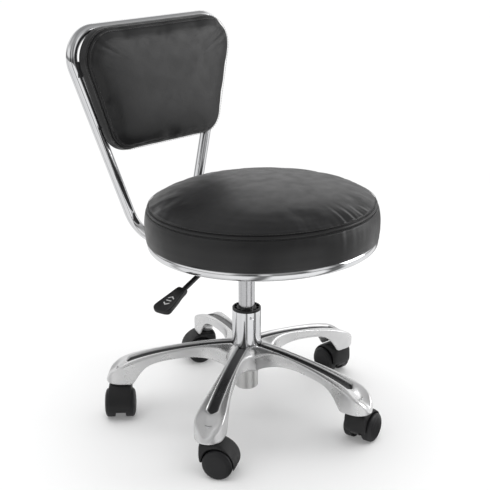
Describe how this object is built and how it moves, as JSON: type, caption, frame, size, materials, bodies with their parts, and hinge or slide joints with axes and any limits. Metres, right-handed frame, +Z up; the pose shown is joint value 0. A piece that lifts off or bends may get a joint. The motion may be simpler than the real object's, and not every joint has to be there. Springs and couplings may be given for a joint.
{
  "type": "rolling stylist stool",
  "caption": "Low rolling stylist stool: round padded seat on a chrome ring, padded tube-framed backrest, gas height lever, cast aluminium star base with twin-wheel casters.",
  "frame": {"origin": "on the floor, on the axis of the gas column", "axes": "+Z up, -Y the way a sitter faces, +X to the sitter's left"},
  "size_m": [0.4873, 0.4972, 0.6675],
  "materials": {
    "cast_aluminium": "polished die-cast aluminium",
    "chrome": "bright chrome plate on steel tube",
    "bright_steel": "ground and polished steel",
    "zinc_steel": "zinc plated steel",
    "black_steel": "black powder coat on pressed steel",
    "black_nylon": "fine-textured black moulding",
    "caster_nylon": "satin black nylon moulding",
    "wheel_nylon": "satin black nylon wheel",
    "rubber": "black rubber",
    "plywood": "bare plywood",
    "foam": "cut polyurethane foam",
    "vinyl": "soft black vinyl with a fine leather grain",
    "black_cloth": "black non-woven dust cloth"
  },
  "bodies": {
    "base": {"base_star": "cast_aluminium", "caster_sleeves": "zinc_steel", "gas_outer_tube": "chrome", "guide_bush": "black_nylon", "bearing_lower_race": "bright_steel", "bearing_balls": "bright_steel"},
    "piston_rod": {"bearing_upper_race": "bright_steel", "piston_rod": "bright_steel", "rod_clip": "bright_steel", "bump_stop": "rubber", "piston_head": "bright_steel"},
    "release_pin": {"release_pin": "bright_steel"},
    "lever": {"lever_rod": "black_steel", "lever_handle": "black_nylon"},
    "caster_1": {"caster_1_hood": "caster_nylon", "caster_1_stem": "zinc_steel", "caster_1_axle": "zinc_steel"},
    "caster_1_wheel_in": {"caster_1_wheel_in": "wheel_nylon"},
    "caster_1_wheel_out": {"caster_1_wheel_out": "wheel_nylon"},
    "caster_2": {"caster_2_hood": "caster_nylon", "caster_2_stem": "zinc_steel", "caster_2_axle": "zinc_steel"},
    "caster_2_wheel_in": {"caster_2_wheel_in": "wheel_nylon"},
    "caster_2_wheel_out": {"caster_2_wheel_out": "wheel_nylon"},
    "caster_3": {"caster_3_hood": "caster_nylon", "caster_3_stem": "zinc_steel", "caster_3_axle": "zinc_steel"},
    "caster_3_wheel_in": {"caster_3_wheel_in": "wheel_nylon"},
    "caster_3_wheel_out": {"caster_3_wheel_out": "wheel_nylon"},
    "caster_4": {"caster_4_hood": "caster_nylon", "caster_4_stem": "zinc_steel", "caster_4_axle": "zinc_steel"},
    "caster_4_wheel_in": {"caster_4_wheel_in": "wheel_nylon"},
    "caster_4_wheel_out": {"caster_4_wheel_out": "wheel_nylon"},
    "caster_5": {"caster_5_hood": "caster_nylon", "caster_5_stem": "zinc_steel", "caster_5_axle": "zinc_steel"},
    "caster_5_wheel_in": {"caster_5_wheel_in": "wheel_nylon"},
    "caster_5_wheel_out": {"caster_5_wheel_out": "wheel_nylon"},
    "seat": {"back_frame": "chrome", "back_straps": "black_steel", "backrest_board": "plywood", "backrest_cover": "vinyl", "backrest_foam": "foam", "cross_bars": "black_steel", "dust_cover": "black_cloth", "leg_plugs": "black_nylon", "lever_pivot_pin": "zinc_steel", "mechanism_housing": "black_steel", "mechanism_plate": "black_steel", "mounting_screws": "zinc_steel", "pressure_tube": "bright_steel", "rod_seal": "black_nylon", "seat_board": "plywood", "seat_cover": "vinyl", "seat_foam": "foam", "seat_ring": "chrome", "seat_spacers": "zinc_steel", "t_nuts": "zinc_steel", "valve_block": "bright_steel"}
  },
  "joints": [
    {"name": "seat_swivel", "type": "hinge", "parent": "base", "child": "piston_rod", "pos_m": [0, 0, 0.055], "axis": [0, 0, 1], "continuous": true},
    {"name": "seat_height", "type": "slide", "parent": "piston_rod", "child": "seat", "axis": [0, 0, 1], "range_m": [-0.045, 0.035]},
    {"name": "lever_lift", "type": "hinge", "parent": "seat", "child": "lever", "pos_m": [-0.026, 0, 0.3], "axis": [0, 1, 0], "range_deg": [0, 6], "stiffness_Nm_per_rad": 2, "springref_deg": -2.86},
    {"name": "release_pin_travel", "type": "slide", "parent": "seat", "child": "release_pin", "axis": [0, 0, -1], "range_m": [0, 0.003]},
    {"name": "caster_1_swivel", "type": "hinge", "parent": "base", "child": "caster_1", "pos_m": [-0.19365, -0.10956, 0.06], "axis": [0, 0, 1], "continuous": true},
    {"name": "caster_1_roll_in", "type": "hinge", "parent": "caster_1", "child": "caster_1_wheel_in", "pos_m": [-0.1843, -0.1261, 0.025], "axis": [-0.8704, -0.4924, 0], "continuous": true},
    {"name": "caster_1_roll_out", "type": "hinge", "parent": "caster_1", "child": "caster_1_wheel_out", "pos_m": [-0.1843, -0.1261, 0.025], "axis": [-0.8704, -0.4924, 0], "continuous": true},
    {"name": "caster_2_swivel", "type": "hinge", "parent": "base", "child": "caster_2", "pos_m": [0.04436, -0.21803, 0.06], "axis": [0, 0, 1], "continuous": true},
    {"name": "caster_2_roll_in", "type": "hinge", "parent": "caster_2", "child": "caster_2_wheel_in", "pos_m": [0.06298, -0.21424, 0.025], "axis": [0.1994, -0.9799, 0], "continuous": true},
    {"name": "caster_2_roll_out", "type": "hinge", "parent": "caster_2", "child": "caster_2_wheel_out", "pos_m": [0.06298, -0.21424, 0.025], "axis": [0.1994, -0.9799, 0], "continuous": true},
    {"name": "caster_3_swivel", "type": "hinge", "parent": "base", "child": "caster_3", "pos_m": [0.22107, -0.02519, 0.06], "axis": [0, 0, 1], "continuous": true},
    {"name": "caster_3_roll_in", "type": "hinge", "parent": "caster_3", "child": "caster_3_wheel_in", "pos_m": [0.22322, -0.00631, 0.025], "axis": [0.9936, -0.1132, 0], "continuous": true},
    {"name": "caster_3_roll_out", "type": "hinge", "parent": "caster_3", "child": "caster_3_wheel_out", "pos_m": [0.22322, -0.00631, 0.025], "axis": [0.9936, -0.1132, 0], "continuous": true},
    {"name": "caster_4_swivel", "type": "hinge", "parent": "base", "child": "caster_4", "pos_m": [0.09227, 0.20247, 0.06], "axis": [0, 0, 1], "continuous": true},
    {"name": "caster_4_roll_in", "type": "hinge", "parent": "caster_4", "child": "caster_4_wheel_in", "pos_m": [0.07498, 0.21035, 0.025], "axis": [0.4147, 0.91, 0], "continuous": true},
    {"name": "caster_4_roll_out", "type": "hinge", "parent": "caster_4", "child": "caster_4_wheel_out", "pos_m": [0.07498, 0.21035, 0.025], "axis": [0.4147, 0.91, 0], "continuous": true},
    {"name": "caster_5_swivel", "type": "hinge", "parent": "base", "child": "caster_5", "pos_m": [-0.16404, 0.15032, 0.06], "axis": [0, 0, 1], "continuous": true},
    {"name": "caster_5_roll_in", "type": "hinge", "parent": "caster_5", "child": "caster_5_wheel_in", "pos_m": [-0.17688, 0.13631, 0.025], "axis": [-0.7373, 0.6756, 0], "continuous": true},
    {"name": "caster_5_roll_out", "type": "hinge", "parent": "caster_5", "child": "caster_5_wheel_out", "pos_m": [-0.17688, 0.13631, 0.025], "axis": [-0.7373, 0.6756, 0], "continuous": true}
  ],
  "couplings": [
    {"joint": "release_pin_travel", "follows": "lever_lift", "m_per_rad": 0.026}
  ]
}
